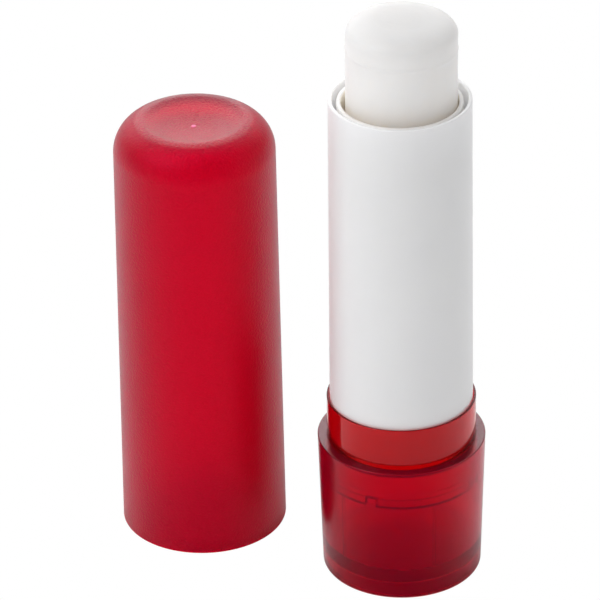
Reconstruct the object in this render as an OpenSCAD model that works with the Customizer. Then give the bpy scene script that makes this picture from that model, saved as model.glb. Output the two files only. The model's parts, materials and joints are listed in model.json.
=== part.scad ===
// Swivel lip balm stick with its cap standing beside it.
// Millimetres, +Z up. The origin is the centre of the stick's foot, and the cap is on the -X side.
// Sizes run from the balm outwards, so each piece takes its bore from the piece inside it.

/* [Balm] */
// Diameter of the balm
balm_d = 12.4; // [10:0.1:15]
// Height of the tip above its parting ridge
tip_h = 3.6; // [2.6:0.1:6]
// Width of the round at the edge of the tip
tip_round_w = 3.2; // [1:0.1:4]
// Height of the round at the edge of the tip
tip_round_h = 1.8; // [0.8:0.1:2.4]
// How far the parting ridge stands out
ridge_out = 0.08; // [0.02:0.01:0.1]
// Lean of the balm in its cup, in degrees
balm_lean = 0.3; // [0:0.05:0.35]
// Gap between the balm and the bore of the guide tube
balm_gap = 0.34; // [0.32:0.01:0.6]
// How far the tip stands above the mouth when wound right down
tip_out_low = 3.3; // [1:0.1:6]
// How far the balm is wound up from there
wound_up = 6.5; // [0:0.5:20]

/* [Carriage cup] */
// Wall of the cup round the balm's root
cup_wall = 0.42; // [0.3:0.02:0.6]
// Thickness of the cup's floor
cup_floor = 1.2; // [0.8:0.1:2]
// Height of the whole cup
cup_h = 8.5; // [5:0.5:12]
// Diameter of the two lugs
lug_d = 1.6; // [1.2:0.1:2]
// Height of the lugs' centre above the cup's underside
lug_rise = 1.7; // [1:0.1:3]

/* [Guide tube] */
// Wall of the guide tube
guide_wall = 0.49; // [0.4:0.01:0.8]
// How far the guide tube's end lies below the barrel's mouth
guide_recess = 0.3; // [0:0.1:2]
// Length left solid above the guide slots
slot_land = 6.1; // [4:0.1:10]
// Width of the assembly slit that runs from one slot to the rim
slit_w = 0.2; // [0.1:0.05:0.5]
// How far the ring that keeps the barrel on stands out
keeper_out = 0.72; // [0.66:0.01:0.75]
// Height of the keeper ring above the guide tube's foot
keeper_rise = 2.1; // [1.6:0.1:2.4]

/* [Spiral sleeve] */
// Wall of the spiral sleeve
sleeve_wall = 0.42; // [0.3:0.01:0.6]
// Rise of the spiral in one turn
lead = 12; // [9:0.5:16]
// Height of the plain ring at the sleeve's upper end
sleeve_top_ring = 2; // [1:0.1:4]
// Height of the plain ring at the sleeve's lower end
sleeve_foot_ring = 1; // [0.6:0.1:1.2]

/* [Barrel] */
// Length of the barrel
barrel_h = 42.4; // [34:0.2:52]
// Wall of the barrel at its mouth
barrel_mouth_wall = 0.45; // [0.4:0.05:1]
// Taper of the barrel, per side, from foot to mouth
barrel_taper = 0.22; // [0.2:0.02:0.5]

/* [Collar] */
// Wall of the collar round the barrel
collar_wall = 0.25; // [0.2:0.05:0.8]
// Height of the collar above the base's shoulder
collar_h = 5.1; // [4:0.1:7]
// Thickness of the web that carries the tubes
web_t = 1.5; // [1:0.1:2.5]
// Height of the web's upper face above the shoulder
web_rise = 0.4; // [0:0.1:0.6]
// Height of the spigot that holds the guide tube
spigot_h = 3.2; // [2.6:0.1:4]
// Wall of the spigot
spigot_wall = 1; // [0.6:0.1:2]
// Wall of the skirt inside the base shell
skirt_wall = 0.9; // [0.7:0.05:1.2]

/* [Base shell] */
// Height of the shoulder above the table
shell_h = 17; // [14:0.5:22]
// Wall of the shell at its shoulder
shell_wall = 1.08; // [0.8:0.02:2]
// Taper of the shell, per side, from shoulder to foot
shell_taper = 0.49; // [0:0.01:0.5]
// Height of the ledge that the collar's skirt stands on
ledge_z = 12; // [10.5:0.1:12]
// Width of that ledge
ledge_w = 0.4; // [0.3:0.05:0.6]
// Depth of the hollow under the foot
foot_recess = 1.75; // [0.5:0.05:2.5]
// Thickness of the floor
floor_t = 1.7; // [1:0.1:2.5]
// Width of the ring that the foot stands on
foot_ring_w = 1.3; // [0.8:0.1:2]
// Round at the foot's outer edge
foot_round = 0.4; // [0.1:0.05:0.6]
// Round at the shoulder's outer edge
shoulder_round = 0.25; // [0.1:0.05:0.4]

/* [Cap] */
// Height of the cap to its upper edge
cap_h = 52.1; // [50:0.1:60]
// Wall of the cap
cap_wall = 1.04; // [0.8:0.02:1.6]
// Taper of the cap, per side, from mouth to shoulder
cap_taper = 0.38; // [0:0.02:0.4]
// Radius of the cap's shoulder
cap_round = 4; // [3:0.1:5]
// Radius of the edge round the dished top
dish_r = 5.8; // [5.8:0.05:7.4]
// Depth of the dished top
dish_depth = 0.95; // [0.2:0.05:1]
// Diameter of the moulding pip in the dish
pip_d = 0.5; // [0.3:0.1:1]
// Height of the lead-in at the cap's mouth
lead_in_h = 1.9; // [1:0.1:3]
// Clear space between the cap and the base as they stand
cap_apart = 6.22; // [2:0.01:20]

/* [Fits] */
// Running gap between turning tubes
run_gap = 0.07; // [0.05:0.01:0.1]
// Gap of a pressed or snapped seat
seat_gap = 0.01; // [0.005:0.005:0.02]
// Gap of the cap on the collar
cap_gap = 0.03; // [0.02:0.01:0.06]
// Gap between a lug and the sides of its guide slot
slot_gap = 0.1; // [0.06:0.01:0.15]
// Gap between a lug and the flanks of the spiral
spiral_gap = 0.22; // [0.15:0.01:0.3]

/* [Hidden] */
$fn = 128;
eps = 0.01;

// The side of the stick that the balm leans to. The guide slots lie on the same line.
guide_dir = 25;

// Small gaps and chamfers that no other piece is fitted to
root_gap = 0.06;
foot_gap = 0.1;
stop_gap = 1.2;
edge_chamfer = 0.15;
spigot_chamfer = 0.3;
rim_gap = 0.2;

// Radii, from the balm outwards
balm_r = balm_d / 2;
guide_in_r = balm_r + balm_gap;
guide_out_r = guide_in_r + guide_wall;
cup_out_r = guide_in_r - slot_gap;
cup_in_r = cup_out_r - cup_wall;
root_r = cup_in_r - root_gap;
sleeve_in_r = guide_out_r + run_gap;
sleeve_out_r = sleeve_in_r + sleeve_wall;
barrel_in_r = sleeve_out_r + seat_gap;
barrel_mouth_r = barrel_in_r + barrel_mouth_wall;
barrel_foot_r = barrel_mouth_r + barrel_taper;
collar_in_r = barrel_foot_r + run_gap;
collar_r = collar_in_r + collar_wall;
socket_r = collar_r + seat_gap;
shell_top_r = socket_r + shell_wall;
shell_foot_r = shell_top_r - shell_taper;
cavity_r = socket_r - ledge_w;
skirt_in_r = collar_r - skirt_wall;
spigot_r = guide_in_r - seat_gap;
keeper_r = guide_out_r + keeper_out;
keeper_groove_r = keeper_r + run_gap;
lug_tip_r = barrel_in_r - slot_gap;
cap_bore_r = collar_r + cap_gap;
cap_mouth_r = cap_bore_r + cap_wall;

// Heights, from the table up
floor_z = foot_recess + floor_t;
web_z = shell_h + web_rise;
rim_z = shell_h + collar_h;
spigot_z = web_z + spigot_h;
barrel_z = web_z + foot_gap;
mouth_z = barrel_z + barrel_h;
guide_top_z = mouth_z - guide_recess;
keeper_z = web_z + keeper_rise;
cup_low_z = spigot_z + stop_gap;
cup_z = cup_low_z + wound_up;
lug_low_z = cup_low_z + lug_rise;
lug_z = cup_z + lug_rise;
slot_r = lug_d / 2 + slot_gap;
slot_top_z = guide_top_z - slot_land - slot_r;
lug_high_z = slot_top_z - slot_gap;
tip_z = mouth_z + tip_out_low + wound_up;
root_z = cup_z + cup_floor;

// The keeper ring and the collar's snap ring have sloped sides
keeper_h = 0.8;
keeper_slope = 0.25;
snap_out = 0.1;
snap_h = 0.8;
snap_z = ledge_z + 1.6;
key_w = 1.2;
key_h = 1;
key_gap = 0.05;

// The spiral slots, as tall as a lug with its gaps when measured square to the spiral
spiral_mean_r = (sleeve_in_r + sleeve_out_r) / 2;
spiral_angle = atan(lead / (2 * PI * spiral_mean_r));
spiral_rise = (lug_d + 2 * spiral_gap) / cos(spiral_angle);
spiral_span = 360 * spiral_rise / lead;
spiral_low_z = lug_low_z - lug_d / 2 - spiral_gap;
spiral_high_z = lug_high_z + lug_d / 2 + spiral_gap;
sleeve_foot_z = spiral_low_z - sleeve_foot_ring;
sleeve_top_z = spiral_high_z + sleeve_top_ring;

// The cap's outline. Its shoulder round ends where the dish begins.
cap_side_r = cap_mouth_r - cap_taper;
cap_round_r = cap_side_r - cap_round;
cap_edge_turn = acos((dish_r - cap_round_r) / cap_round);
cap_shoulder_z = cap_h - cap_round * sin(cap_edge_turn);
cap_in_side_r = cap_side_r - cap_wall;
cap_in_round = cap_round - cap_wall;
// The ceiling lies a wall's thickness under the dish, so the round inside starts lower too
cap_ceiling_z = cap_h - dish_depth - cap_wall;
cap_collar_z = collar_h + rim_gap;
cap_x = -(shell_top_r + cap_apart + cap_mouth_r);
lead_in = 0.1;
dish_edge = 0.12;
pip_h = 0.1;

// Points along a quarter round or any other stretch of an ellipse
function arc(cx, cz, rx, rz, from, to, steps = 10) = [
    for (i = [0 : steps])
        let (a = from + (to - from) * i / steps)
            [cx + rx * cos(a), cz + rz * sin(a)]
];

// Points along a bowl or a crown, from its edge at radius r inwards to its centre at height z
function bowl(r, z, rise, steps = 8) = [
    for (i = [0 : steps])
        let (part = 1 - i / steps)
            [r * part, z + rise * part * part]
];

// A ring standing out of a wall, or the groove for it, with sloped sides, listed upwards
function ring_points(wall_r, out_r, mid_z, h, slope) = [
    [wall_r, mid_z - h / 2],
    [out_r, mid_z - h / 2 + slope],
    [out_r, mid_z + h / 2 - slope],
    [wall_r, mid_z + h / 2]
];

function reversed(points) = [for (i = [len(points) - 1 : -1 : 0]) points[i]];

module turned(points) {
    rotate_extrude()
        polygon(points);
}

// Runs its children at both ends of the line that the guide slots lie on
module both_sides() {
    for (side = [0, 180])
        rotate([0, 0, guide_dir + side])
            children();
}

// A round bar that lies along +X from one radius to another
module radial_bar(r, from_r, to_r, z) {
    translate([from_r, 0, z])
        rotate([0, 90, 0])
            cylinder(r = r, h = to_r - from_r);
}

// Keys on the shell's ledge that stop the collar turning, or the notches for them
module shell_keys(gap) {
    for (turn = [0 : 90 : 270])
        rotate([0, 0, turn])
            translate([cavity_r - gap, -key_w / 2 - gap, ledge_z - eps])
                cube([socket_r + shell_wall / 3 - cavity_r, key_w + 2 * gap, key_h + eps + gap]);
}

// Keys on the collar's web that stop the guide tube turning, or the notches for them.
// They run past the guide tube's outer face, so a notch is open there.
module guide_keys(gap) {
    both_sides()
        rotate([0, 0, 90])
            translate([spigot_r - spigot_chamfer, -key_w / 2 - gap, web_z - eps])
                cube([2 * guide_wall + spigot_chamfer, key_w + 2 * gap, key_h + eps + gap]);
}

module base_shell() {
    groove_h = snap_h + 2 * key_gap;
    snap_groove = ring_points(socket_r, socket_r + snap_out, snap_z, groove_h, snap_out);
    color("firebrick") {
        turned(concat(
            [[shell_foot_r - foot_ring_w, 0]],
            arc(shell_foot_r - foot_round, foot_round, foot_round, foot_round, -90, 0, 6),
            arc(shell_top_r - shoulder_round, shell_h - shoulder_round,
                shoulder_round, shoulder_round, 0, 90, 6),
            [[socket_r, shell_h]],
            reversed(snap_groove),
            [[socket_r, ledge_z], [cavity_r, ledge_z], [cavity_r, floor_z]],
            [[0, floor_z], [0, foot_recess], [shell_foot_r - foot_ring_w, foot_recess]]
        ));
        shell_keys(0);
    }
}

module collar() {
    rim_round = collar_wall * 0.8;
    color("red") {
        difference() {
            turned(concat(
                [[skirt_in_r, ledge_z], [collar_r, ledge_z]],
                ring_points(collar_r, collar_r + snap_out, snap_z, snap_h, snap_out),
                arc(collar_r - rim_round, rim_z - rim_round, rim_round, rim_round, 0, 90, 6),
                [[collar_in_r, rim_z], [collar_in_r, web_z], [spigot_r, web_z]],
                [[spigot_r, spigot_z - spigot_chamfer], [spigot_r - spigot_chamfer, spigot_z]],
                [[spigot_r - spigot_wall, spigot_z], [spigot_r - spigot_wall, web_z - web_t]],
                [[skirt_in_r, web_z - web_t]]
            ));
            shell_keys(key_gap);
        }
        intersection() {
            guide_keys(0);
            cylinder(r = guide_out_r, h = rim_z);
        }
    }
}

module guide_tube() {
    rim_round = guide_wall * 0.35;
    slit_h = guide_top_z - slot_top_z;
    color("white")
        difference() {
            turned(concat(
                [[guide_in_r, web_z], [guide_out_r, web_z]],
                ring_points(guide_out_r, keeper_r, keeper_z, keeper_h, keeper_slope),
                arc(guide_out_r - rim_round, guide_top_z - rim_round, rim_round, rim_round, 0, 90, 4),
                arc(guide_in_r + rim_round, guide_top_z - rim_round, rim_round, rim_round, 90, 180, 4)
            ));
            both_sides()
                guide_slot();
            rotate([0, 0, guide_dir + 180])
                translate([guide_in_r - guide_wall, -slit_w / 2, slot_top_z])
                    cube([3 * guide_wall, slit_w, slit_h + 1]);
            guide_keys(key_gap);
        }
}

// A slot with round ends, cut past both faces of the guide tube's wall
module guide_slot() {
    from_r = guide_in_r - guide_wall;
    to_r = guide_out_r + guide_wall;
    low_z = lug_low_z - slot_gap;
    radial_bar(slot_r, from_r, to_r, low_z);
    radial_bar(slot_r, from_r, to_r, slot_top_z);
    translate([from_r, -slot_r, low_z])
        cube([to_r - from_r, 2 * slot_r, slot_top_z - low_z]);
}

module spiral_sleeve() {
    color("whitesmoke")
        difference() {
            translate([0, 0, sleeve_foot_z])
                cylinder(r = sleeve_out_r, h = sleeve_top_z - sleeve_foot_z);
            translate([0, 0, sleeve_foot_z - 1])
                cylinder(r = sleeve_in_r, h = sleeve_top_z - sleeve_foot_z + 2);
            both_sides()
                spiral_cut();
        }
}

// One spiral slot. Its middle passes the guide slot at the height of the lug.
module spiral_cut() {
    cut_h = spiral_high_z - spiral_low_z;
    twist = 360 * cut_h / lead;
    inner = sleeve_in_r - 0.6;
    outer = sleeve_out_r + 1;
    steps = 2;
    corners = 2 * (steps + 1);
    slice_turn = 9;
    slices = ceil(twist / slice_turn);
    rotate([0, 0, 360 * (lug_z - spiral_low_z) / lead])
        translate([0, 0, spiral_low_z])
            linear_extrude(height = cut_h, twist = twist, slices = slices, segments = corners, $fn = 0)
                polygon(concat(
                    arc(0, 0, inner, inner, spiral_span / 2, -spiral_span / 2, steps),
                    arc(0, 0, outer, outer, -spiral_span / 2, spiral_span / 2, steps)
                ));
}

module barrel() {
    rim_round = barrel_mouth_wall * 0.4;
    chamfer_r = barrel_foot_r - edge_chamfer;
    groove_h = keeper_h + 2 * run_gap;
    groove = ring_points(barrel_in_r, keeper_groove_r, keeper_z, groove_h, keeper_slope - run_gap);
    color("white")
        turned(concat(
            [[barrel_in_r, barrel_z], [chamfer_r, barrel_z], [barrel_foot_r, barrel_z + edge_chamfer]],
            arc(barrel_mouth_r - rim_round, mouth_z - rim_round, rim_round, rim_round, 0, 90, 5),
            arc(barrel_in_r + rim_round, mouth_z - rim_round, rim_round, rim_round, 90, 180, 5),
            reversed(groove)
        ));
}

module carriage_cup() {
    color("ivory") {
        difference() {
            translate([0, 0, cup_z])
                cylinder(r = cup_out_r, h = cup_h);
            translate([0, 0, root_z])
                cylinder(r = cup_in_r, h = cup_h);
        }
        both_sides()
            radial_bar(lug_d / 2, cup_in_r + cup_wall / 4, lug_tip_r, lug_z);
    }
}

// The balm leans a little in its cup, so it is raised by the height that its root's edge drops
module balm() {
    lift = root_r * sin(balm_lean);
    length = tip_z - root_z - lift;
    ridge_z = length - tip_h;
    ridge_h = 0.4;
    ridge_slope = 0.15;
    shoulder_z = cup_h - cup_floor + rim_gap;
    crown = 0.1;
    crown_r = balm_r - tip_round_w;
    color("snow")
        translate([0, 0, root_z + lift])
            rotate([0, 0, guide_dir])
                rotate([0, balm_lean, 0])
                    turned(concat(
                        [[0, 0], [root_r, 0], [root_r, shoulder_z]],
                        [[balm_r, shoulder_z + balm_r - root_r]],
                        ring_points(balm_r, balm_r + ridge_out, ridge_z, ridge_h, ridge_slope),
                        arc(crown_r, length - tip_round_h - crown, tip_round_w, tip_round_h, 0, 85, 12),
                        bowl(crown_r, length, -crown)
                    ));
}

module cap() {
    dish_z = cap_h - dish_depth;
    dish_rise = dish_depth - dish_edge / 2;
    step_r = cap_bore_r - 0.04;
    color("crimson")
        translate([cap_x, 0, 0]) {
            turned(concat(
                [[cap_bore_r + lead_in, 0], [cap_mouth_r - edge_chamfer, 0], [cap_mouth_r, edge_chamfer]],
                arc(cap_round_r, cap_shoulder_z, cap_round, cap_round, 0, cap_edge_turn, 12),
                bowl(dish_r - 2 * dish_edge, dish_z, dish_rise),
                [[0, cap_ceiling_z]],
                arc(cap_in_side_r - cap_in_round, cap_ceiling_z - cap_in_round, cap_in_round, cap_in_round, 90, 0, 8),
                [[step_r, cap_collar_z], [cap_bore_r, cap_collar_z]],
                [[cap_bore_r, lead_in_h], [cap_bore_r + lead_in, lead_in_h]]
            ));
            translate([0, 0, dish_z - pip_h])
                cylinder(d = pip_d, h = 2 * pip_h);
        }
}

base_shell();
collar();
guide_tube();
spiral_sleeve();
barrel();
carriage_cup();
balm();
cap();
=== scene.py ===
# %% [markdown]
# A swivel lip balm stick, with its cap taken off and stood beside it.
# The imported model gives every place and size, and this lesson makes the finish of each piece around it.
# Lengths on the stick are in millimetres, as a moulder would write them, and MM turns them into metres.
# The floor and the softboxes are in metres.

import json
import math

import bpy
from mathutils import Matrix, Vector


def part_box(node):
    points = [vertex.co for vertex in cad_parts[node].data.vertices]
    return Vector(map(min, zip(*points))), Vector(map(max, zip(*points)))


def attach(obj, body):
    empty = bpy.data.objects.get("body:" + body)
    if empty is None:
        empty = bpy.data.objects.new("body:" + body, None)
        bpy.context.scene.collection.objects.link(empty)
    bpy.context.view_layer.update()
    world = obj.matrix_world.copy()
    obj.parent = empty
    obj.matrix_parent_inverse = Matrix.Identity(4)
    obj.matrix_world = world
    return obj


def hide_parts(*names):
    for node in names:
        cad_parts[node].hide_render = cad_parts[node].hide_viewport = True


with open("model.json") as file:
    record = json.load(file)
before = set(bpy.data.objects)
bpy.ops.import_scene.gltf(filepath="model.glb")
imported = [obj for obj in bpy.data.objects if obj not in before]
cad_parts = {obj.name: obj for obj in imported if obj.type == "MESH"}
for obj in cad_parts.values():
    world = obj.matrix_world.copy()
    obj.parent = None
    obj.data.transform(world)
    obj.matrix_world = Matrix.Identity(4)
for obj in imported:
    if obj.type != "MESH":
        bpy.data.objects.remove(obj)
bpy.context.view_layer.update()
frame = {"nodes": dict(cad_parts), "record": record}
MM = 0.001

# %% [markdown]
# The camera stands where the photographer's stood. It looks down at about thirty degrees through a long
# lens, so the two tubes hardly taper. The distance, the angles and the point that it aims at are named,
# and the place follows from them. A long lens from far away is the usual choice for small products.

# %% The camera
AIM = Vector((-9.91, -5.64, 35)) * MM
AZIMUTH = math.radians(25.06)
ELEVATION = math.radians(29.74)
ROLL = math.radians(-0.97)
DISTANCE = 524.6 * MM
LENS = 280
SENSOR = 36


def look_from(azimuth, elevation):
    """The direction from the object to a viewer. Azimuth 0 is a viewer on the -Y side."""
    flat = math.cos(elevation)
    return Vector((math.sin(azimuth) * flat, -math.cos(azimuth) * flat, math.sin(elevation)))


camera = bpy.data.objects.new("camera", bpy.data.cameras.new("camera"))
bpy.context.scene.collection.objects.link(camera)
back = look_from(AZIMUTH, ELEVATION)
turned = back.to_track_quat("Z", "Y").to_matrix().to_4x4() @ Matrix.Rotation(ROLL, 4, "Z")
camera.matrix_world = Matrix.Translation(AIM + back * DISTANCE) @ turned
camera.data.lens = LENS
camera.data.sensor_width = SENSOR
camera.data.clip_start = 0.01
camera.data.clip_end = 10
bpy.context.scene.camera = camera
print("camera at", [round(x, 4) for x in camera.location])

# %% [markdown]
# Node trees are easier to read as sums than as boxes and wires. Wire stands for one socket, and adding or
# multiplying wires adds the Math nodes. Numbers may stand on either side, so the reflected forms are there
# as well.

# %% Shader maths as Python
class Wire:
    """One output socket. Sums on wires add Math nodes to the tree."""

    def __init__(self, tree, socket):
        self.tree = tree
        self.socket = socket

    def maths(self, operation, *others):
        sockets = dict(enumerate((self, *others)))
        return self.tree.node("ShaderNodeMath", {"operation": operation}, sockets)

    def __add__(self, other):
        return self.maths("ADD", other)

    def __sub__(self, other):
        return self.maths("SUBTRACT", other)

    def __mul__(self, other):
        return self.maths("MULTIPLY", other)

    def __truediv__(self, other):
        return self.maths("DIVIDE", other)

    def __rsub__(self, other):
        return self * -1 + other

    __radd__ = __add__
    __rmul__ = __mul__

    def clamped(self):
        return self.maths("MAXIMUM", 0).maths("MINIMUM", 1)


# %% [markdown]
# Tree adds any other node: its settings go in first, and then its sockets get a value or a link. Colours
# go through a Mix node, because a Math node would turn them grey. The same two classes serve the finishes
# and the geometry. A Mix node has one set of sockets for each kind of data, so those for colours are
# found by their number.

# %% Any node in one line
MIX_FIRST = 6
MIX_SECOND = 7
MIX_RESULT = 2


class Tree:
    """A node tree that nodes are added to in one line each."""

    def __init__(self, nodes_and_links):
        self.tree = nodes_and_links

    def node(self, kind, settings=None, sockets=None, out=0):
        made = self.tree.nodes.new(kind)
        for name, value in (settings or {}).items():
            if name == "stops":
                self.set_stops(made.color_ramp, value)
            else:
                setattr(made, name, value)
        for name, value in (sockets or {}).items():
            self.fill(made.inputs[name], value)
        return Wire(self, made.outputs[out]) if made.outputs else None

    def fill(self, socket, value):
        for one in value if isinstance(value, list) else [value]:
            if isinstance(one, Wire):
                self.tree.links.new(one.socket, socket)
            else:
                socket.default_value = one

    def set_stops(self, ramp, stops):
        while len(ramp.elements) < len(stops):
            ramp.elements.new(1)
        for element, (place, colour) in zip(ramp.elements, stops):
            element.position = place
            element.color = (*colour, 1)

    def mix(self, factor, first, second):
        sockets = {"Factor": factor, MIX_FIRST: first, MIX_SECOND: second}
        return self.node("ShaderNodeMix", {"data_type": "RGBA"}, sockets, out=MIX_RESULT)

    def part(self, vector, axis):
        return self.node("ShaderNodeSeparateXYZ", None, {0: vector}, out=axis)

    def vector_maths(self, operation, first, second):
        sockets = {0: first, 1: second}
        return self.node("ShaderNodeVectorMath", {"operation": operation}, sockets)


# %% [markdown]
# A finish is a material. Every finish here starts from the place of a point on its piece, in metres, so a
# pattern stays put when the piece moves. Noise at a few scales stands for what moulding leaves behind:
# fine grain from the tool and slow waves from the melt. A mask picks out a round place, such as the
# shoulder, by the x of an upright axis, a radius, the height above which it lies and how soft its edge is.

# %% Helpers for finishes
def rgb(red, green, blue):
    return (red, green, blue, 1)


# The colour of the painted highlight on the gate dot.
GATE_HIGHLIGHT_WHITE = rgb(1, 0.2, 0.4)
STEP_UP = 0.03 * MM
FINISHES = {}


class Finish(Tree):
    """A material whose patterns start from the place of a point on the piece."""

    def __init__(self, name):
        self.material = bpy.data.materials.new(name)
        self.material.use_nodes = True
        super().__init__(self.material.node_tree)
        self.tree.nodes.clear()
        self.place = self.node("ShaderNodeTexCoord", out="Object")

    def noise(self, size, detail=2.0, stretch=(1, 1, 1)):
        """Noise from 0 to 1 with blots of about that size, in millimetres."""
        place = self.node("ShaderNodeMapping", None, {"Vector": self.place, "Scale": stretch})
        sockets = {"Vector": place, "Scale": 1 / (size * MM), "Detail": detail}
        return self.node("ShaderNodeTexNoise", None, sockets)

    def height(self):
        return self.part(self.place, "Z")

    def disc(self, x, radius, low, soft):
        """A mask that is 1 above a height, within a radius of the upright axis at that x."""
        across = self.vector_maths("SUBTRACT", self.place, (x, 0, 0))
        flat = self.vector_maths("MULTIPLY", across, (1, 1, 0))
        distance = self.node("ShaderNodeVectorMath", {"operation": "LENGTH"}, {0: flat}, out="Value")
        within = ((radius - distance) / soft).clamped()
        return within * ((self.height() - low) / STEP_UP).clamped()

    def bump(self, relief, depth):
        """Turns a height from 0 to 1 into a normal, for relief of that depth in millimetres."""
        return self.node("ShaderNodeBump", None, {"Height": relief, "Distance": depth * MM, "Strength": 1.0})

    def principled(self, dye=None, gate_highlight=None, **sockets):
        """Ends the finish. A dye is the colour that a millimetre of the plastic lets through."""
        named = {name.replace("_", " "): value for name, value in sockets.items()}
        surface = self.node("ShaderNodeBsdfPrincipled", None, named)
        # The gate dot is painted white, a painted highlight for the light that its raised pip catches.
        if gate_highlight:
            highlight_shader = self.node("ShaderNodeBsdfPrincipled", None, {"Base Color": GATE_HIGHLIGHT_WHITE, "Roughness": 0.5})
            surface = self.node("ShaderNodeMixShader", None, {0: gate_highlight, 1: surface, 2: highlight_shader})
        ends = {"Surface": surface}
        if dye:
            inside = {"Color": dye, "Density": 1 / MM}
            ends["Volume"] = self.node("ShaderNodeVolumeAbsorption", None, inside)
        self.node("ShaderNodeOutputMaterial", None, ends)
        print("finish", self.material.name, "of", len(self.tree.nodes), "nodes")
        return self.material


# %% [markdown]
# The cap and the foot are moulded in a tinted, see-through plastic, and the mould was spark eroded, so
# the outside is frosted. Real frosting is a rough face on clear plastic, so the shader is rough glass and
# not a painted red: light goes in, crosses the wall, and comes out blurred and redder. A dye in the volume
# makes thick places darker than thin ones, which a surface colour alone can't do. A thin coat stands for
# the faces that look greyer in the photo: the top of the cap and the flat shoulder of the foot. The small
# dot where the plastic flowed into the mould is painted white, a painted highlight for the light that its
# raised pip catches, and it is mixed in as an opaque shader.

# %% Frosted red
GRAIN_SIZE = 0.22
GRAIN_CONTRAST = 2.2
MOTTLE_SIZE = 0.4
WAVE_SIZE = 5
RED_IOR = 1.49


def frosted_red(
    name, pale, deep, dye, glint, frost, clearness, relief,
    patch_at, patch_gloss, patch_rough, gate_at,
):
    """The patch is a round place with its own coat. The gate is where the plastic flowed in, and it carries
    a painted highlight.
    """
    finish = Finish(name)
    grain = ((finish.noise(GRAIN_SIZE, detail=1.5) - 0.5) * GRAIN_CONTRAST + 0.5).clamped()
    waves = finish.noise(WAVE_SIZE, detail=2)
    speckle = (grain * 0.7 + finish.noise(MOTTLE_SIZE) * 0.3).clamped()
    patch = finish.disc(*patch_at)
    return finish.principled(
        dye=dye,
        gate_highlight=finish.disc(*gate_at),
        Base_Color=finish.mix(speckle, deep, pale),
        Roughness=waves * 0.06 + grain * 0.1 + frost,
        Coat_Weight=patch * (grain * 0.8 + waves * 0.3 + 0.25) * patch_gloss,
        Coat_Roughness=patch_rough,
        Transmission_Weight=clearness,
        Specular_Tint=glint,
        IOR=RED_IOR,
        Normal=finish.bump(grain * (patch + 1), relief),
    )


# %% [markdown]
# The cap and the foot have one frosted red each, because the cap's frosting is coarser in the photo. Both
# are the same function with other values, which keeps what they share in one place. The greyer patch is
# the whole top of the cap, and on the foot it is the shoulder.

# %% The cap's red and the foot's red
CAP_AXIS = (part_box("cap")[0].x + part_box("cap")[1].x) / 2
CAP_TOP_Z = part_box("cap")[1].z
GATE_R = 0.33 * MM
GATE_SOFT = 0.04 * MM
SHOULDER = (0, 10 * MM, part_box("base_shell")[1].z - 0.04 * MM, 0.25 * MM)
CAP_TOP = (CAP_AXIS, 6.9 * MM, CAP_TOP_Z - 1.4 * MM, 0.4 * MM)
CAP_GATE = (CAP_AXIS, GATE_R, CAP_TOP_Z - 2 * MM, GATE_SOFT)
FOOT_GATE = (0, GATE_R, 0, GATE_SOFT)

FINISHES["frosted_red"] = frosted_red(
    "frosted_red", pale=rgb(1, 0, 0.12), deep=rgb(0.82, 0, 0.08), dye=rgb(0.91, 0, 0.6),
    glint=rgb(1, 0.06, 0.2), frost=0.28, clearness=0.9, relief=0.03,
    patch_at=CAP_TOP, patch_gloss=0.6, patch_rough=0.4, gate_at=CAP_GATE,
)
FINISHES["foot_red"] = frosted_red(
    "foot_red", pale=rgb(0.96, 0, 0.14), deep=rgb(0.86, 0, 0.11), dye=rgb(0.9, 0, 0.55),
    glint=rgb(1, 0.03, 0.12), frost=0.12, clearness=0.95, relief=0.006,
    patch_at=SHOULDER, patch_gloss=1, patch_rough=0.25, gate_at=FOOT_GATE,
)

# %% [markdown]
# The collar is the same red, but its mould was polished, so it is clear and glossy. It could share the
# frosted finish with a lower roughness. It has its own, because its wall is so thin that it needs a
# stronger surface tint, and because a slow flow pattern is all that shows on a polished face.

# %% Polished red
FLOW_SIZE = 3
UPRIGHT_FLOW = (1, 1, 0.35)


def clear_red():
    finish = Finish("clear_red")
    flow = finish.noise(FLOW_SIZE, detail=3, stretch=UPRIGHT_FLOW)
    return finish.principled(
        dye=rgb(0.92, 0, 0.5),
        Base_Color=finish.mix(flow, rgb(0.94, 0.006, 0.02), rgb(1, 0.01, 0.03)),
        Roughness=flow * 0.05 + 0.03,
        Transmission_Weight=0.95,
        Specular_Tint=rgb(1, 0.45, 0.5),
        IOR=RED_IOR,
        Normal=finish.bump(flow, 0.02),
    )


FINISHES["clear_red"] = clear_red()

# %% [markdown]
# The barrel is white plastic with a satin gloss. White plastic is never quite opaque: light spreads under
# the face for about a millimetre, and subsurface scattering does that. The bore gets light through the
# wall as well, more than the scattering brings it, so its colour is painted paler, as painted light.

# %% Glossy white
WHITE_IOR = 1.5
BARREL_BORE_LIGHT = (0, 7.65 * MM, 0, 0.1 * MM)


def gloss_white():
    finish = Finish("gloss_white")
    slow = finish.noise(7, detail=2)
    fine = finish.noise(0.25, detail=3)
    outside = finish.mix(slow, rgb(0.77, 0.77, 0.79), rgb(0.81, 0.81, 0.82))
    return finish.principled(
        # The bore is painted paler, as painted light.
        Base_Color=finish.mix(finish.disc(*BARREL_BORE_LIGHT), outside, rgb(0.97, 0.97, 0.97)),
        Roughness=slow * 0.06 + fine * 0.04 + 0.3,
        Subsurface_Weight=0.5,
        Subsurface_Radius=(1.2, 1.2, 1.3),
        Subsurface_Scale=MM,
        IOR=WHITE_IOR,
        Normal=finish.bump(fine * 0.4 + slow * 0.6, 0.01),
    )


FINISHES["gloss_white"] = gloss_white()

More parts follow.
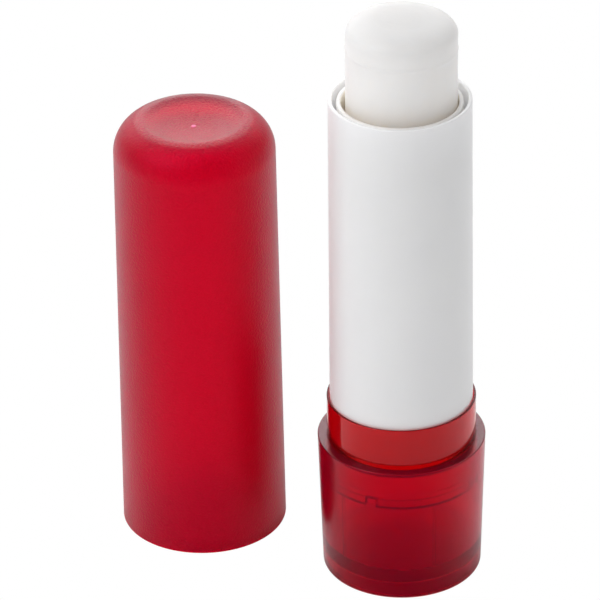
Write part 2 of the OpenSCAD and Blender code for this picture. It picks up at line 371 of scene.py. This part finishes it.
# %% [markdown]
# The guide tube, the sleeve and the cup are the plain white of parts that nobody looks at, left as they
# come out of the mould. The plastic has less pigment than the barrel, so light goes deeper into it. The
# mouth of the guide tube's bore is painted warmer, as painted light that has mostly been through the wax.

# %% Inner white
TUBE_MOUTH_LIGHT = (0, 6.6 * MM, 50 * MM, 0.05 * MM)


def inner_white():
    finish = Finish("inner_white")
    slow = finish.noise(3, detail=3)
    fine = finish.noise(0.2, detail=2)
    plain = finish.mix(slow, rgb(0.95, 0.95, 0.94), rgb(0.98, 0.98, 0.97))
    return finish.principled(
        # The warm mouth of the bore is painted light from the wax.
        Base_Color=finish.mix(finish.disc(*TUBE_MOUTH_LIGHT), plain, rgb(1, 0.89, 0.72)),
        Roughness=fine * 0.1 + slow * 0.08 + 0.36,
        Subsurface_Weight=1.0,
        Subsurface_Radius=(2.5, 2.5, 2.4),
        Subsurface_Scale=MM,
        IOR=WHITE_IOR,
        Normal=finish.bump(fine, 0.008),
    )


FINISHES["inner_white"] = inner_white()

# %% [markdown]
# The balm is wax and oil, cloudy rather than white. Light wanders more than a centimetre inside it, so
# its scattering is the deepest here. The tip is painted greyer, as painted shade for a top that faces the
# light, and low down in the mouth the wax is painted warm, as painted light that reaches it through more
# wax. A ramp by height gives that, and it moves with the balm. It is a gentle one, or the stick would look
# two-toned when it is wound right up. Soft streaks are left on the tip by the mould that the wax was
# poured into.

# %% Balm wax
WAX_IOR = 1.44
RAMP_LENGTH = 14 * MM
# Painted shade on the grey tip and painted light in the warm lower part.
PAINTED_SHADE_AND_LIGHT_BY_DEPTH = [
    (0, (0.55, 0.55, 0.555)),
    (0.2, (0.67, 0.67, 0.675)),
    (0.5, (0.77, 0.765, 0.76)),
    (0.72, (0.83, 0.805, 0.78)),
    (1, (0.83, 0.805, 0.78)),
]


def balm_wax():
    finish = Finish("balm_wax")
    cloud = finish.noise(2.5, detail=3)
    fine = finish.noise(0.18, detail=3)
    streaks = finish.noise(0.9, detail=3, stretch=(0.2, 1, 1))
    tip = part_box("balm")[1].z
    depth = ((tip - finish.height()) / RAMP_LENGTH + cloud * 0.06 - 0.03).clamped()
    return finish.principled(
        Base_Color=finish.node("ShaderNodeValToRGB", {"stops": PAINTED_SHADE_AND_LIGHT_BY_DEPTH}, {0: depth}),
        Roughness=fine * 0.1 + cloud * 0.1 + 0.32,
        Subsurface_Weight=1.0,
        Subsurface_Radius=(14, 13, 12),
        Subsurface_Scale=MM,
        IOR=WAX_IOR,
        Normal=finish.bump(fine * 0.2 + cloud * 0.4 + streaks * 0.4, 0.05),
    )


FINISHES["balm_wax"] = balm_wax()
print("finishes", sorted(FINISHES))

# %% [markdown]
# Each tube and shell is round, so one outline turned about an axis makes it. An outline is a list of
# corners, each with its radius, its height and the round that the mould gives it. Real mouldings have no
# knife edges, and the small rounds catch the thin highlights that make plastic look like plastic.

# %% Outlines
def fillet(before, corner, after, size, steps=6):
    """The points of a round of that size, in place of a corner."""
    here = Vector(corner)
    to_before = (Vector(before) - here).normalized()
    to_after = (Vector(after) - here).normalized()
    half = to_before.angle(to_after) / 2
    centre = here + (to_before + to_after).normalized() * size / math.sin(half)
    start = here + to_before * size / math.tan(half) - centre
    end = here + to_after * size / math.tan(half) - centre
    sweep = start.angle_signed(end)
    return [centre + Matrix.Rotation(-sweep * i / steps, 2) @ start for i in range(steps + 1)]


def rounded(corners, closed=True):
    """The outline through corners of (radius, height) or (radius, height, round)."""
    points = []
    last = len(corners) - 1
    for i, corner in enumerate(corners):
        size = corner[2] if len(corner) > 2 else 0
        inside = closed or 0 < i < last
        if size and inside:
            after = corners[(i + 1) % len(corners)]
            points += fillet(corners[i - 1][:2], corner[:2], after[:2], size)
        else:
            points.append(Vector(corner[:2]))
    return points + points[:1] if closed else points


square = rounded([(1, 0, 0.2), (2, 0, 0.2), (2, 1, 0.2), (1, 1, 0.2)])
print("a square with four rounds has", len(square), "points")

# %% [markdown]
# Two shapes come back in several outlines. An arc is for rounds that are too big for a corner, such as
# the top of the cap and the tip of the balm. A ring is a low bead that stands out of a wall, and its four
# corners listed backwards give the groove that such a bead snaps into.

# %% Arcs and rings
def arc(centre, size, start, end, steps):
    """Corners along a stretch of a circle, or of an ellipse where size is a pair."""
    wide, tall = size if isinstance(size, tuple) else (size, size)
    turns = [math.radians(start + (end - start) * i / steps) for i in range(steps + 1)]
    return [(centre[0] + wide * math.cos(t), centre[1] + tall * math.sin(t)) for t in turns]


def ring_on(wall, out, middle, tall, slope):
    """Corners of a ring that stands out of a wall, or of its groove, listed upwards."""
    low = middle - tall / 2
    high = middle + tall / 2
    return [(wall, low), (out, low + slope), (out, high - slope), (wall, high)]


quarter = arc((0, 0), 1, 0, 90, 3)
print("a quarter of a circle in three steps", [(round(x, 2), round(z, 2)) for x, z in quarter])

# %% [markdown]
# Geometry Nodes turn the outline into a skin: a flat grid has one row for each outline point and one
# column for each step round, and Set Position rolls it up. Spinning an edge by hand would do the same,
# but the tree keeps its sizes as named inputs. Merging closes the seam and the poles.

# %% Turning an outline
MERGE = 0.0002 * MM
SHARP = math.radians(32)


class Solid(Tree):
    """A geometry tree with named inputs, which ends as one closed mesh."""

    def __init__(self, name, sizes):
        super().__init__(bpy.data.node_groups.new(name, "GeometryNodeTree"))
        self.sizes = sizes
        faces = self.tree.interface
        faces.new_socket("Geometry", in_out="INPUT", socket_type="NodeSocketGeometry")
        for size in sizes:
            faces.new_socket(size, in_out="INPUT", socket_type="NodeSocketFloat")
        faces.new_socket("Finish", in_out="INPUT", socket_type="NodeSocketMaterial")
        faces.new_socket("Geometry", in_out="OUTPUT", socket_type="NodeSocketGeometry")
        self.inputs = self.tree.nodes.new("NodeGroupInput")

    def size(self, name):
        return Wire(self, self.inputs.outputs[name])

    def vector(self, **parts):
        return self.node("ShaderNodeCombineXYZ", None, parts)

    def turned(self):
        """The outline in the object's own mesh, turned about Z."""
        outline = self.size("Geometry")
        steps = self.size("Steps round")
        count = self.node("GeometryNodeAttributeDomainSize", None, {0: outline}, out="Point Count")
        shape = {"Size X": 1.0, "Size Y": 1.0, "Vertices X": steps + 1, "Vertices Y": count}
        grid = self.node("GeometryNodeMeshGrid", None, shape)
        index = self.node("GeometryNodeInputIndex")
        column = (index / count).maths("FLOOR")
        row = index - column * count
        sampled = {"Geometry": outline, "Value": self.node("GeometryNodeInputPosition"), "Index": row}
        point = self.node("GeometryNodeSampleIndex", {"data_type": "FLOAT_VECTOR"}, sampled)
        radius = self.part(point, "X")
        height = self.part(point, "Z")
        turn = column / steps * math.tau
        place = self.vector(X=radius * turn.maths("COSINE"), Y=radius * turn.maths("SINE"), Z=height)
        rolled = self.node("GeometryNodeSetPosition", None, {"Geometry": grid, "Position": place})
        return self.node("GeometryNodeMergeByDistance", None, {"Geometry": rolled, "Distance": MERGE})

    def ended(self, mesh):
        """Shades the mesh, sets its finish and ends the tree."""
        angle = self.node("GeometryNodeInputMeshEdgeAngle", out="Unsigned Angle")
        smooth = {"Geometry": mesh, "Shade Smooth": angle.maths("LESS_THAN", SHARP)}
        shaded = self.node("GeometryNodeSetShadeSmooth", {"domain": "EDGE"}, smooth)
        real = self.node("GeometryNodeRealizeInstances", None, {0: shaded})
        finished = {"Geometry": real, "Material": self.size("Finish")}
        coated = self.node("GeometryNodeSetMaterial", None, finished)
        self.node("NodeGroupOutput", None, {"Geometry": coated})


# %% [markdown]
# Keys, ribs, notches and slots are all the same thing: a block that stands off the axis and is repeated
# round it. Modelling each by hand would need its own trigonometry, so one pair of helpers makes a square
# bar and a bar with round ends, and an instance of it stands at each turn. A rod lying down whose upper
# half is pulled up is a bar with round ends.

# %% Blocks round the axis
ROD_SIDES = 48
UPPER_PART = 50


def square_bar(solid, length, middle, width, low, high):
    """A bar with square ends."""
    cube = solid.node("GeometryNodeMeshCube", None, {"Size": solid.vector(X=length, Y=width, Z=high - low)})
    upright = {"Geometry": cube, "Translation": solid.vector(X=middle, Z=(low + high) / 2)}
    return solid.node("GeometryNodeTransform", None, upright)


def round_bar(solid, length, middle, width, low, high):
    """A bar with round ends, whose centres are at the two heights."""
    sides = {"Vertices": ROD_SIDES, "Radius": width / 2, "Depth": length}
    rod = solid.node("GeometryNodeMeshCylinder", None, sides)
    lying = {"Geometry": rod, "Rotation": (0, math.pi / 2, 0), "Translation": solid.vector(X=middle, Z=low)}
    placed = solid.node("GeometryNodeTransform", None, lying)
    height = solid.part(solid.node("GeometryNodeInputPosition"), "Z")
    upper = height.maths("GREATER_THAN", low + width / UPPER_PART)
    pulled = {"Geometry": placed, "Selection": upper, "Offset": solid.vector(Z=high - low)}
    return solid.node("GeometryNodeSetPosition", None, pulled)


# %% [markdown]
# Each kind of block has a name, and its eight sizes are inputs of the tree under that name, so a wider
# key is one changed number. The blocks are joined to the turned skin or cut out of it with one Boolean,
# which needs closed meshes and gives one back.

# %% Growing and cutting
BLOCK_SIZES = (" inner", " outer", " width", " low", " high", " count", " first", " round")


def block(name, across, upright, width, count=1, first=0, ends=0):
    """The named sizes of blocks between two radii and two heights. The first stands at that turn."""
    lengths = [size * MM for size in (*across, width, *upright)]
    values = [*lengths, count, math.radians(first), ends]
    return {name + part: float(value) for part, value in zip(BLOCK_SIZES, values)}


def blocks(solid, name):
    """The blocks of that name, all of them real faces."""
    inner, outer, width, low, high, count, first, ends = (solid.size(name + part) for part in BLOCK_SIZES)
    bar = (outer - inner, (inner + outer) / 2, width, low, high)
    kinds = {0: ends, 1: square_bar(solid, *bar), 2: round_bar(solid, *bar)}
    shape = solid.node("GeometryNodeSwitch", {"input_type": "GEOMETRY"}, kinds)
    points = solid.node("GeometryNodePoints", None, {"Count": count})
    turn = solid.node("GeometryNodeInputIndex") * math.tau / count + first
    spread = {"Points": points, "Instance": shape, "Rotation": solid.vector(Z=turn)}
    placed = solid.node("GeometryNodeInstanceOnPoints", None, spread)
    return solid.node("GeometryNodeRealizeInstances", None, {0: placed})


def boolean(solid, operation, pieces):
    settings = {"operation": operation, "solver": "MANIFOLD"}
    return solid.node("GeometryNodeMeshBoolean", settings, pieces)


def with_blocks(solid, mesh, grown, cut):
    """The mesh with some blocks grown onto it and others cut out of it."""
    if grown:
        mesh = boolean(solid, "UNION", {"Mesh 2": [mesh, *(blocks(solid, name) for name in grown)]})
    if cut:
        away = [blocks(solid, name) for name in cut]
        mesh = boolean(solid, "DIFFERENCE", {"Mesh 1": mesh, "Mesh 2": away})
    return mesh


print("sizes of a block", [size.strip() for size in BLOCK_SIZES])

# %% [markdown]
# A piece starts as an object that holds only its outline. The tree runs on it as a modifier, the result
# is kept as the object's plain mesh, and the modifier goes. The outline has to run anticlockwise, or the
# skin would be inside out, and the sign of its area tells which way it runs.

# %% From outline to plain mesh
STEPS_ROUND = 240


def outline_area(points):
    pairs = zip(points, points[1:] + points[:1])
    return sum(a[0] * b[1] - b[0] * a[1] for a, b in pairs) / 2


def outline_object(name, points):
    """An object that holds the outline's points in the XZ plane, anticlockwise."""
    if outline_area(points) < 0:
        points = points[::-1]
    mesh = bpy.data.meshes.new(name)
    mesh.from_pydata([(max(p[0], 0) * MM, 0, p[1] * MM) for p in points], [], [])
    piece = bpy.data.objects.new(name, mesh)
    bpy.context.scene.collection.objects.link(piece)
    return piece


def baked(piece, solid, finish):
    """Runs a geometry tree on a piece and keeps the result as its plain mesh."""
    modifier = piece.modifiers.new(solid.tree.name, "NODES")
    modifier.node_group = solid.tree
    values = {**solid.sizes, "Finish": finish}
    for item in solid.tree.interface.items_tree:
        if item.in_out == "INPUT" and item.name in values:
            modifier[item.identifier] = values[item.name]
    evaluated = piece.evaluated_get(bpy.context.evaluated_depsgraph_get())
    mesh = bpy.data.meshes.new_from_object(evaluated)
    piece.modifiers.remove(modifier)
    piece.data = mesh
    return piece


def turned_piece(name, points, finish, grown=(), cut=(), sizes=()):
    """A turned outline, with named blocks grown onto it and others cut out of it."""
    values = {"Steps round": float(STEPS_ROUND)}
    for named in sizes:
        values.update(named)
    solid = Solid("turned_" + name, values)
    solid.ended(with_blocks(solid, solid.turned(), grown, cut))
    return baked(outline_object(name, points), solid, FINISHES[finish])


print("each piece has", STEPS_ROUND, "steps round")

# %% [markdown]
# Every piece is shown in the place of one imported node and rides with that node's body, so it moves as the
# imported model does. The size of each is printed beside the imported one's, because they have to agree.

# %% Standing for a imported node
def stand_for(piece, node):
    """The piece rides with its node's body and is shown in its place."""
    body = next(b for b, nodes in frame["record"]["behaviour"]["bodies"].items() if node in nodes)
    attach(piece, body)
    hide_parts(node)
    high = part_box(node)[1]
    points = [v.co for v in piece.data.vertices]
    top = max(v.z for v in points)
    side = max(v.x for v in points)
    print(piece.name, len(points), "points, top", round(top / MM, 2), "of", round(high.z / MM, 2),
          "side", round(side / MM, 2), "of", round(high.x / MM, 2))


def low_z(node):
    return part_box(node)[0].z / MM


def high_z(node):
    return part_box(node)[1].z / MM


print("the packed stick is", round(high_z("balm"), 2), "mm tall")

# %% [markdown]
# The tubes fit inside each other with gaps of under a tenth of a millimetre, apart from the one round the
# balm, so the radii are added up from the balm outwards, as the moulder would set them. The heights come
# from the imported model.

# %% Radii and heights
BALM_R = 6.2
BALM_GAP = 0.34
GUIDE_WALL = 0.49
RUNNING_GAP = 0.07
SLEEVE_WALL = 0.43
BARREL_WALL = 0.45
BARREL_TAPER = 0.22
COLLAR_WALL = 0.25
PRESS_GAP = 0.01
SHELL_WALL = 1.08
SHELL_TAPER = 0.49
LEDGE_WIDE = 0.4

GUIDE_IN_R = BALM_R + BALM_GAP
GUIDE_OUT_R = GUIDE_IN_R + GUIDE_WALL
SLEEVE_IN_R = GUIDE_OUT_R + RUNNING_GAP
BARREL_IN_R = SLEEVE_IN_R + SLEEVE_WALL
BARREL_MOUTH_R = BARREL_IN_R + BARREL_WALL
BARREL_FOOT_R = BARREL_MOUTH_R + BARREL_TAPER
COLLAR_IN_R = BARREL_FOOT_R + RUNNING_GAP
COLLAR_R = COLLAR_IN_R + COLLAR_WALL
SOCKET_R = COLLAR_R + PRESS_GAP
SHELL_TOP_R = SOCKET_R + SHELL_WALL
SHELL_FOOT_R = SHELL_TOP_R - SHELL_TAPER
CAVITY_R = SOCKET_R - LEDGE_WIDE
SHELL_H = high_z("base_shell")
LEDGE_Z = low_z("collar")
WEB_Z = low_z("guide_tube")
RIM_Z = high_z("collar")
MOUTH_Z = high_z("barrel")
SNAP_Z = LEDGE_Z + 1.6
KEEPER_Z = WEB_Z + 2.1
SLOT_TURN = 25

# %% [markdown]
# The foot of the stick is a cup with a thick wall. Its shoulder is flat and frosted, and the collar is
# pressed into it. Every line inside shows through the wall, so the ledge, the groove, the keys and the
# ribs are real shapes. The ribs and keys are blocks that Geometry Nodes stand round the axis and join
# to the turned shell.

# %% Base shell
FOOT_RECESS = 1.75
FLOOR_Z = FOOT_RECESS + 1.7
FOOT_RING_R = SHELL_FOOT_R - 1.3
SNAP_OUT = 0.1
KEY_WIDE = 1.2
KEY_TALL = 1
KEY_BITE = 0.3
KEY_GAP = 0.05
RIBS = {"Wide rib": (1.1, -64.9), "Left rib": (0.25, -116.4), "Right rib": (0.25, -40.8)}

shell_outline = rounded([
    (0, FOOT_RECESS),
    (FOOT_RING_R, FOOT_RECESS, 0.25),
    (FOOT_RING_R, 0, 0.15),
    (SHELL_FOOT_R, 0, 0.4),
    (SHELL_TOP_R, SHELL_H, 0.12),
    (SOCKET_R, SHELL_H, 0.05),
    *reversed(ring_on(SOCKET_R, SOCKET_R + SNAP_OUT, SNAP_Z, 0.9, 0.1)),
    (SOCKET_R, LEDGE_Z),
    (CAVITY_R, LEDGE_Z, 0.05),
    (CAVITY_R, FLOOR_Z, 0.3),
    (0, FLOOR_Z),
], closed=False)
rib_across = (CAVITY_R - 0.2, CAVITY_R + KEY_BITE)
rib_upright = (FLOOR_Z - KEY_BITE, LEDGE_Z - 0.1)
shell_blocks = [
    block("Key", (CAVITY_R, SOCKET_R + KEY_BITE), (LEDGE_Z - KEY_BITE, LEDGE_Z + KEY_TALL), KEY_WIDE, 4),
    *(block(name, rib_across, rib_upright, wide, 2, turn) for name, (wide, turn) in RIBS.items()),
]
base = turned_piece("base_shell_frosted", shell_outline, "foot_red",
                    grown=("Key", *RIBS), sizes=shell_blocks)
stand_for(base, "base_shell")

# %% [markdown]
# The collar is a ring with a web across it and a short spigot that the guide tube stands on. On the real
# part one mould makes all three, so one outline does here. Its foot has a notch for each key of the shell,
# and a cut by four blocks is simpler than shaping the outline round them.

# %% Collar
SPIGOT_R = GUIDE_IN_R - 0.01
SPIGOT_Z = WEB_Z + 3.2
SPIGOT_WALL = 1
WEB_LOW_Z = WEB_Z - 1.5
SKIRT_IN_R = COLLAR_R - 0.9
NOTCH_WIDE = KEY_WIDE + 2 * KEY_GAP

collar_outline = rounded([
    (SKIRT_IN_R, LEDGE_Z, 0.08),
    (COLLAR_R, LEDGE_Z, 0.05),
    *ring_on(COLLAR_R, COLLAR_R + SNAP_OUT, SNAP_Z, 0.8, 0.1),
    (COLLAR_R, RIM_Z, 0.12),
    (COLLAR_IN_R, RIM_Z, 0.06),
    (COLLAR_IN_R, WEB_Z, 0.15),
    (SPIGOT_R, WEB_Z, 0.1),
    (SPIGOT_R, SPIGOT_Z, 0.3),
    (SPIGOT_R - SPIGOT_WALL, SPIGOT_Z, 0.1),
    (SPIGOT_R - SPIGOT_WALL, WEB_LOW_Z, 0.2),
    (SKIRT_IN_R, WEB_LOW_Z, 0.2),
])
notch_across = (SKIRT_IN_R - 1, SOCKET_R + 1)
spigot_key_across = (SPIGOT_R - KEY_BITE, GUIDE_OUT_R - 0.03)
spigot_key_upright = (WEB_Z - KEY_BITE, WEB_Z + KEY_TALL)
collar_blocks = [
    block("Notch", notch_across, (LEDGE_Z - 1, LEDGE_Z + KEY_TALL + KEY_GAP), NOTCH_WIDE, 4),
    block("Key", spigot_key_across, spigot_key_upright, KEY_WIDE, 2, SLOT_TURN + 90),
]
collar = turned_piece("collar_polished", collar_outline, "clear_red",
                      grown=("Key",), cut=("Notch",), sizes=collar_blocks)
stand_for(collar, "collar")

# %% [markdown]
# The guide tube is the thin white ring in the barrel's mouth. Two straight slots with round ends keep the
# balm's cup from turning, and above one of them a slit lets the tube spring open when the cup goes in.
# Only its top shows, but the slots are cut as well, because the barrel may be looked into from above.

# %% Guide tube
GUIDE_TOP_Z = high_z("guide_tube")
GUIDE_RIM = 0.17
KEEPER_R = GUIDE_OUT_R + 0.72
SLOT_LOW_Z = 23.39
SLOT_TOP_Z = GUIDE_TOP_Z - 7
SLOT_WIDE = 1.8
SLIT_WIDE = 0.2

guide_outline = rounded([
    (GUIDE_IN_R, WEB_Z),
    (GUIDE_OUT_R, WEB_Z),
    *ring_on(GUIDE_OUT_R, KEEPER_R, KEEPER_Z, 0.8, 0.25),
    (GUIDE_OUT_R, GUIDE_TOP_Z, GUIDE_RIM),
    (GUIDE_IN_R, GUIDE_TOP_Z, GUIDE_RIM),
])
through = (GUIDE_IN_R - 0.5, GUIDE_OUT_R + 1)
guide_blocks = [
    block("Slot", through, (SLOT_LOW_Z, SLOT_TOP_Z), SLOT_WIDE, 2, SLOT_TURN, ends=1),
    block("Slit", through, (SLOT_TOP_Z, GUIDE_TOP_Z + 1), SLIT_WIDE, 1, SLOT_TURN + 180),
    block("Notch", through, (WEB_Z - 1, WEB_Z + KEY_TALL + KEY_GAP), NOTCH_WIDE, 2, SLOT_TURN + 90),
]
guide = turned_piece("guide_tube_moulded", guide_outline, "inner_white",
                     cut=("Slot", "Slit", "Notch"), sizes=guide_blocks)
stand_for(guide, "guide_tube")

# %% [markdown]
# The barrel is a plain tapered tube. What makes it look real is its mouth: a small round that catches a
# bright thin line all the way round. A groove low in the bore holds the guide tube's keeper ring.

# %% Barrel
BARREL_Z = low_z("barrel")
BARREL_RIM = 0.18
GROOVE_R = GUIDE_OUT_R + 0.79

barrel_outline = rounded([
    (BARREL_IN_R, BARREL_Z),
    (BARREL_FOOT_R, BARREL_Z, 0.15),
    (BARREL_MOUTH_R, MOUTH_Z, BARREL_RIM),
    (BARREL_IN_R, MOUTH_Z, BARREL_RIM),
    *reversed(ring_on(BARREL_IN_R, GROOVE_R, KEEPER_Z, 0.94, 0.18)),
])
barrel = turned_piece("barrel_gloss", barrel_outline, "gloss_white")
stand_for(barrel, "barrel")

# %% [markdown]
# The cap is a deep cup with a big round at its shoulder and a shallow dish on top. The wall is even, so
# its ceiling lies one wall under the dish. A parabola gives the dish, and where it meets the round the
# crest is soft. The small dome in the middle is what is left of the plastic's way into the mould.

# %% Cap
CAP_H = high_z("cap")
CAP_WALL = 1.04
CAP_BORE_R = COLLAR_R + 0.03
CAP_MOUTH_R = CAP_BORE_R + CAP_WALL
CAP_SIDE_R = CAP_MOUTH_R - 0.38
CAP_ROUND = 4
CREST_ROUND = 1.4
CREST_TURN = 8
DISH_R = 5.8
DISH_DEPTH = 0.95
BORE_TOP_Z = 5.3
BORE_STEP = 0.04
LEAD_IN_Z = 1.9
LEAD_IN = 0.1
PIP = ((0.3, 0), (0.27, 0.05), (0.2, 0.085), (0.1, 0.1), (0, 0.103))

edge_turn = math.degrees(math.acos((DISH_R - CAP_SIDE_R + CAP_ROUND) / CAP_ROUND))
round_r = CAP_SIDE_R - CAP_ROUND
round_z = CAP_H - CAP_ROUND * math.sin(math.radians(edge_turn))
dish_z = CAP_H - DISH_DEPTH
ceiling_z = dish_z - CAP_WALL
inner_round = CAP_ROUND - CAP_WALL
bowl_parts = [tenths / 10 for tenths in range(9, 0, -1)]
cap_outline = rounded([
    (0, ceiling_z),
    *arc((round_r, ceiling_z - CAP_ROUND + CAP_WALL), inner_round, 90, 0, 14),
    (CAP_BORE_R - BORE_STEP, BORE_TOP_Z),
    (CAP_BORE_R, BORE_TOP_Z),
    (CAP_BORE_R, LEAD_IN_Z),
    (CAP_BORE_R + LEAD_IN, LEAD_IN_Z),
    (CAP_BORE_R + LEAD_IN, 0, 0.1),
    (CAP_MOUTH_R, 0, 0.15),
    *arc((round_r, round_z), CAP_ROUND, 0, edge_turn - CREST_TURN, 20),
    (DISH_R, CAP_H, CREST_ROUND),
    *((DISH_R * part, dish_z + DISH_DEPTH * part * part) for part in bowl_parts),
    *((radius, dish_z + height) for radius, height in PIP),
], closed=False)
cap = turned_piece("cap_frosted", cap_outline, "frosted_red")
cap.data.transform(Matrix.Translation((CAP_AXIS, 0, 0)))
stand_for(cap, "cap")

# %% [markdown]
# The balm is cast in one piece with its rounded tip. A low ridge near the tip is where two halves of the
# casting mould met. The stick leans in its cup by a fraction of a degree, as soft things do, so it is
# turned upright first, and then its mesh is leant and lifted by what the root's edge would sink.

# %% Balm
ROOT_Z = low_z("balm")
ROOT_STEP = 0.24
ROOT_R = BALM_R - ROOT_STEP
ROOT_TOP_Z = ROOT_Z + 7.5
LEAN = math.radians(0.3)
LIFT = ROOT_R * math.sin(LEAN)
TIP_Z = high_z("balm") - LIFT
TIP_WIDE = 3.2
TIP_TALL = 1.8
RIDGE_Z = TIP_Z - 3.6
RIDGE_OUT = 0.05
CROWN = 0.1

crown_r = BALM_R - TIP_WIDE
balm_outline = rounded([
    (0, ROOT_Z),
    (ROOT_R, ROOT_Z, 0.3),
    (ROOT_R, ROOT_TOP_Z),
    (BALM_R, ROOT_TOP_Z + ROOT_STEP),
    *ring_on(BALM_R, BALM_R + RIDGE_OUT, RIDGE_Z, 0.6, 0.28),
    *arc((crown_r, TIP_Z - TIP_TALL - CROWN), (TIP_WIDE, TIP_TALL), 0, 85, 16),
    *((crown_r * part, TIP_Z - CROWN * part * part) for part in (1, 0.75, 0.5, 0.25, 0)),
], closed=False)
balm = turned_piece("balm_stick", balm_outline, "balm_wax")
foot = Vector((0, 0, ROOT_Z)) * MM
lean = Matrix.Rotation(math.radians(SLOT_TURN), 4, "Z") @ Matrix.Rotation(LEAN, 4, "Y")
raised = Matrix.Translation(foot + Vector((0, 0, LIFT)) * MM)
balm.data.transform(raised @ lean @ Matrix.Translation(-foot))
stand_for(balm, "balm")

# %% [markdown]
# The sleeve and the cup are hidden inside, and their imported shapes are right, so they stay as they are
# and only get a finish. Making them again would risk a shape that no longer runs in its neighbours.

# %% Carried over nodes
for node in ("spiral_sleeve", "carriage_cup"):
    piece = frame["nodes"][node]
    piece.data.materials.clear()
    piece.data.materials.append(FINISHES["inner_white"])
    print(node, "keeps its packed shape and gets", piece.data.materials[0].name)

# %% [markdown]
# The studio is a pale floor and soft light. The floor is white paper to every ray but the camera's own,
# which sees it evenly bright, as in a cut-out product picture. A plain white floor would show a grey
# shadow that the photo doesn't have. It lies a tenth of a millimetre low, so that no two faces coincide.

# %% Floor
HALF_FLOOR = 3.0
FLOOR_DROP = 0.1 * MM
floor_mesh = bpy.data.meshes.new("floor")
sides = ((-1, -1), (1, -1), (1, 1), (-1, 1))
corners = [(x * HALF_FLOOR, y * HALF_FLOOR, -FLOOR_DROP) for x, y in sides]
floor_mesh.from_pydata(corners, [], [(0, 1, 2, 3)])
floor = bpy.data.objects.new("floor", floor_mesh)
bpy.context.scene.collection.objects.link(floor)
table = Finish("white_table")
seen = table.node("ShaderNodeLightPath", out="Is Camera Ray")
paper = table.node("ShaderNodeBsdfDiffuse", None, {"Color": rgb(0.9, 0.9, 0.9)})
glow = table.node("ShaderNodeEmission", None, {"Color": rgb(1, 1, 1), "Strength": 1.0})
bright = table.node("ShaderNodeMixShader", None, {0: seen, 1: paper, 2: glow})
table.node("ShaderNodeOutputMaterial", None, {"Surface": bright})
floor.data.materials.append(table.material)
print("floor", 2 * HALF_FLOOR, "m across")

# %% [markdown]
# See-through plastic is lit from behind, or it goes black, so the sky has a broad bright panel behind the
# stick, and the rest of it is even. The panel fades out by the angle from its middle. A lamp could do
# that too, but a sky has no edge that would show inside the collar.

# %% Sky
PANEL_TURN = math.radians(180 + 10)
PANEL_ELEVATION = math.radians(42)
PANEL_EDGE = 0.55
PANEL_FADE = 0.4
PANEL_POWER = 1.5
EVEN_POWER = 0.42

world = bpy.data.worlds.new("studio")
bpy.context.scene.world = world
world.use_nodes = True
world.node_tree.nodes.clear()
sky = Tree(world.node_tree)
behind = tuple(look_from(AZIMUTH + PANEL_TURN, PANEL_ELEVATION))
toward = sky.node("ShaderNodeTexCoord", out="Generated")
along = sky.node("ShaderNodeVectorMath", {"operation": "DOT_PRODUCT"}, {0: toward, 1: behind}, out="Value")
panel = ((along - PANEL_EDGE) / PANEL_FADE).clamped()
strength = panel * panel * (3 - 2 * panel) * PANEL_POWER + EVEN_POWER
light = sky.node("ShaderNodeBackground", None, {"Color": rgb(1, 1, 1), "Strength": strength})
sky.node("ShaderNodeOutputWorld", None, {"Surface": light})
print("the sky's panel is", round(math.degrees(math.acos(PANEL_EDGE))), "degrees from middle to edge")

# %% [markdown]
# Two softboxes shape the pieces: a key light from the left draws the gradient across the white barrel,
# and a weak fill from the right keeps the far side from going flat. Angles are measured from the camera,
# so moving the camera would take the lights along.

# %% Softboxes
def softbox(name, azimuth, elevation, distance, wide, tall, power):
    """A soft rectangular light that faces the stick from that direction."""
    data = bpy.data.lights.new(name, "AREA")
    data.shape = "RECTANGLE"
    data.size = wide
    data.size_y = tall
    data.energy = power
    lamp = bpy.data.objects.new(name, data)
    bpy.context.scene.collection.objects.link(lamp)
    away = look_from(AZIMUTH + math.radians(azimuth), math.radians(elevation))
    facing = away.to_track_quat("Z", "Y").to_matrix().to_4x4()
    lamp.matrix_world = Matrix.Translation(AIM + away * distance) @ facing
    print(name, "softbox of", power, "W at", distance, "m")


softbox("key", azimuth=-58, elevation=46, distance=0.6, wide=0.42, tall=0.42, power=1.8)
softbox("fill", azimuth=75, elevation=20, distance=0.7, wide=0.3, tall=0.5, power=0.2)

# %% [markdown]
# Light crosses many faces in nested tubes of clear plastic and wanders far in white ones, so it may bounce
# more often than usual. The plain view transform keeps the red as saturated as it is in the photo.

# %% Bounces and view
scene = bpy.context.scene
scene.view_settings.view_transform = "Standard"
scene.cycles.max_bounces = 24
scene.cycles.diffuse_bounces = 16
scene.cycles.transmission_bounces = 24
print("bounces", scene.cycles.max_bounces, "view", scene.view_settings.view_transform)
